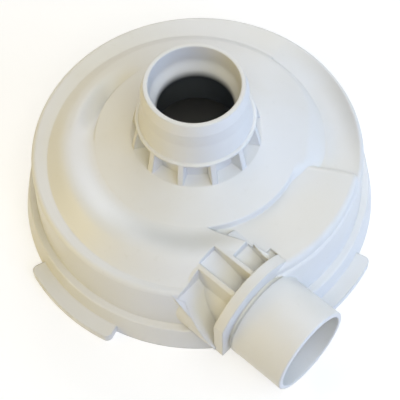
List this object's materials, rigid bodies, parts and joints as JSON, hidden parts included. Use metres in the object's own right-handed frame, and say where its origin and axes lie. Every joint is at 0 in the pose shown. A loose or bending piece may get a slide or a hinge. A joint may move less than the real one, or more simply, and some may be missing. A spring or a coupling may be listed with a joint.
{
  "type": "volute pump casing",
  "caption": "One-piece moulded pump casing: spiral roof over a drum, central inlet spigot with ribbed collar, tangential outlet spigot behind a stop ring, and bayonet lugs round the foot.",
  "frame": {"origin": "on the casing's axis, in the plane of the motor-side rim on which it rests", "axes": "+Z along the casing's axis towards the inlet mouth; the outlet spigot leaves between +X and -Y, parallel to the rim's plane"},
  "size_m": [0.169, 0.1971, 0.0895],
  "materials": {
    "casing_plastic": "semi-gloss white moulded plastic"
  },
  "bodies": {
    "root": {"pump_casing": "casing_plastic"}
  },
  "joints": []
}
